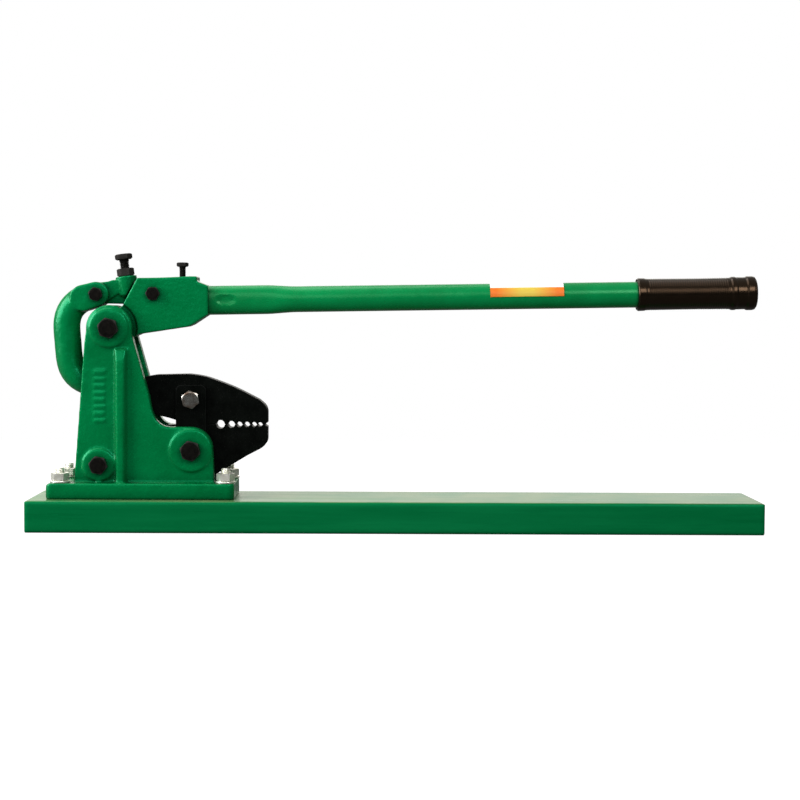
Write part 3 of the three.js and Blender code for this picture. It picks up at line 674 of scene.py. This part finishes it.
def add_label():
    """A thin film wrapped from just behind the tube's top down over its front."""
    start, end = span("handle_label", socket_mouth, handle_along)
    steps_along, steps_around = 48, 24
    behind, wrap = LABEL["behind"], LABEL["front"] - LABEL["behind"]
    angles = [behind + wrap * j / steps_around for j in range(steps_around + 1)]
    section = [(LABEL["outer"], angle) for angle in angles]
    section += [(LABEL["inner"], angle) for angle in reversed(angles)]
    rings, along, around = [], [], []
    for i in range(steps_along + 1):
        s = start + (end - start) * i / steps_along
        ring = []
        for radius, angle in section:
            turn = math.radians(angle)
            ring.append(on_handle(s, -radius * math.sin(turn), radius * math.cos(turn)))
            along.append(i / steps_along)
            around.append((angle - behind) / wrap)
        rings.append(ring)
    mesh = loft("handle_label", rings)
    for name, values in (("along", along), ("around", around)):
        mesh.attributes.new(name, "FLOAT", "POINT").data.foreach_set("value", values)
    stand_for(add_object("handle_label_surface", mesh), "handle_label", LABEL_PRINT)


add_tube()
add_grip()
add_label()


# ---------------------------------------------------------------- floor, lights, world and camera


def add_floor():
    """A floor that looks nearly white, and throws little light back at the tool."""
    made, tree, shader = material("studio_floor")
    tone = mix(tree, grain(tree, 3, 2), colour(0.10, 0.10, 0.10), colour(0.12, 0.12, 0.12))
    seen = node(tree, "ShaderNodeLightPath").outputs["Is Camera Ray"]
    glow = calc(tree, "MULTIPLY", seen, 0.96)
    values = {"Roughness": 0.9, "Specular IOR Level": 0.1, "Emission Color": colour(1, 1, 1)}
    finish_shader(tree, shader, {"Base Color": tone, "Emission Strength": glow}, values)
    half_x, near, far = 3.0, -1.3, 1.2
    corners = [(-half_x, near, 0), (half_x, near, 0), (half_x, far, 0), (-half_x, far, 0)]
    mesh = bpy.data.meshes.new("floor")
    mesh.from_pydata(corners, [], [(0, 1, 2, 3)])
    mesh.materials.append(made)
    add_object("floor", mesh)


def add_softbox(name, location, target, width, height, radiance):
    """A rectangular lamp facing its target, as bright all over as the radiance says."""
    light = bpy.data.lights.new(name, "AREA")
    light.shape = "RECTANGLE"
    light.size = width
    light.size_y = height
    light.energy = math.pi * width * height * radiance
    lamp = add_object(name, light)
    lamp.location = location
    lamp.rotation_euler = (Vector(target) - Vector(location)).to_track_quat("-Z", "Y").to_euler()


def add_world():
    """White to the eye. For the tool it is a bright backdrop, a dim ceiling and a dark room in front."""
    world = bpy.data.worlds.new("studio")
    bpy.context.scene.world = world
    world.use_nodes = True
    tree = world.node_tree
    direction = node(tree, "ShaderNodeTexCoord").outputs["Generated"]
    parts = node(tree, "ShaderNodeSeparateXYZ", {"Vector": direction}).outputs
    backdrop = ramp(tree, parts["Y"], 0.7, 0.97, 0.0, 1.6)
    backdrop = calc(tree, "MULTIPLY", backdrop, ramp(tree, parts["Z"], 0.035, 0.10))
    overhead = ramp(tree, parts["Z"], 0.1, 1.0, 0.08, 0.5)
    strength = calc(tree, "ADD", backdrop, overhead)
    warm = {0: (1.0, 0.97, 0.90), "Scale": strength}
    studio = node(tree, "ShaderNodeVectorMath", warm, operation="SCALE").outputs[0]
    seen = node(tree, "ShaderNodeLightPath").outputs["Is Camera Ray"]
    tree.links.new(mix(tree, seen, studio, colour(1, 1, 1)), tree.nodes["Background"].inputs["Color"])


CAMERA = {"place": (-0.0301, -1.8115, 0.2278), "lens": 77.5, "sensor": 36}  # metres, then millimetres
CAMERA_ANGLES = {"pitch": -0.050993, "yaw": 0.019057, "roll": 0.006143}  # radians


def add_camera():
    """The camera stands a little left of the tool's middle and looks slightly down."""
    data = bpy.data.cameras.new("camera")
    data.lens = CAMERA["lens"]
    data.sensor_width = CAMERA["sensor"]
    pitch, yaw, roll = CAMERA_ANGLES["pitch"], CAMERA_ANGLES["yaw"], CAMERA_ANGLES["roll"]
    ahead = Vector((math.sin(yaw) * math.cos(pitch), math.cos(yaw) * math.cos(pitch), math.sin(pitch)))
    level = Vector((math.cos(yaw), -math.sin(yaw), 0))
    upright = level.cross(ahead)
    right = level * math.cos(roll) + upright * math.sin(roll)
    up = upright * math.cos(roll) - level * math.sin(roll)
    camera = add_object("camera", data)
    turn = Matrix((right, up, -ahead)).transposed().to_4x4()
    camera.matrix_world = Matrix.Translation(CAMERA["place"]) @ turn
    bpy.context.scene.camera = camera


add_floor()
add_softbox("key_softbox", (-1.0, -2.3, 1.2), (-0.1, 0, 0.15), 2.0, 1.2, 2.0)
add_softbox("right_softbox", (1.15, -2.4, 1.65), (0.2, 0, 0.22), 1.3, 1.1, 8.6)
add_softbox("left_softbox", (-1.9, -0.45, 0.9), (-0.3, 0, 0.15), 1.5, 1.3, 10.5)
add_softbox("top_softbox", (-0.8, 0.3, 2.2), (-0.1, 0, 0), 2.5, 1.6, 2.3)
add_world()
add_camera()
bpy.context.scene.view_settings.view_transform = "Standard"
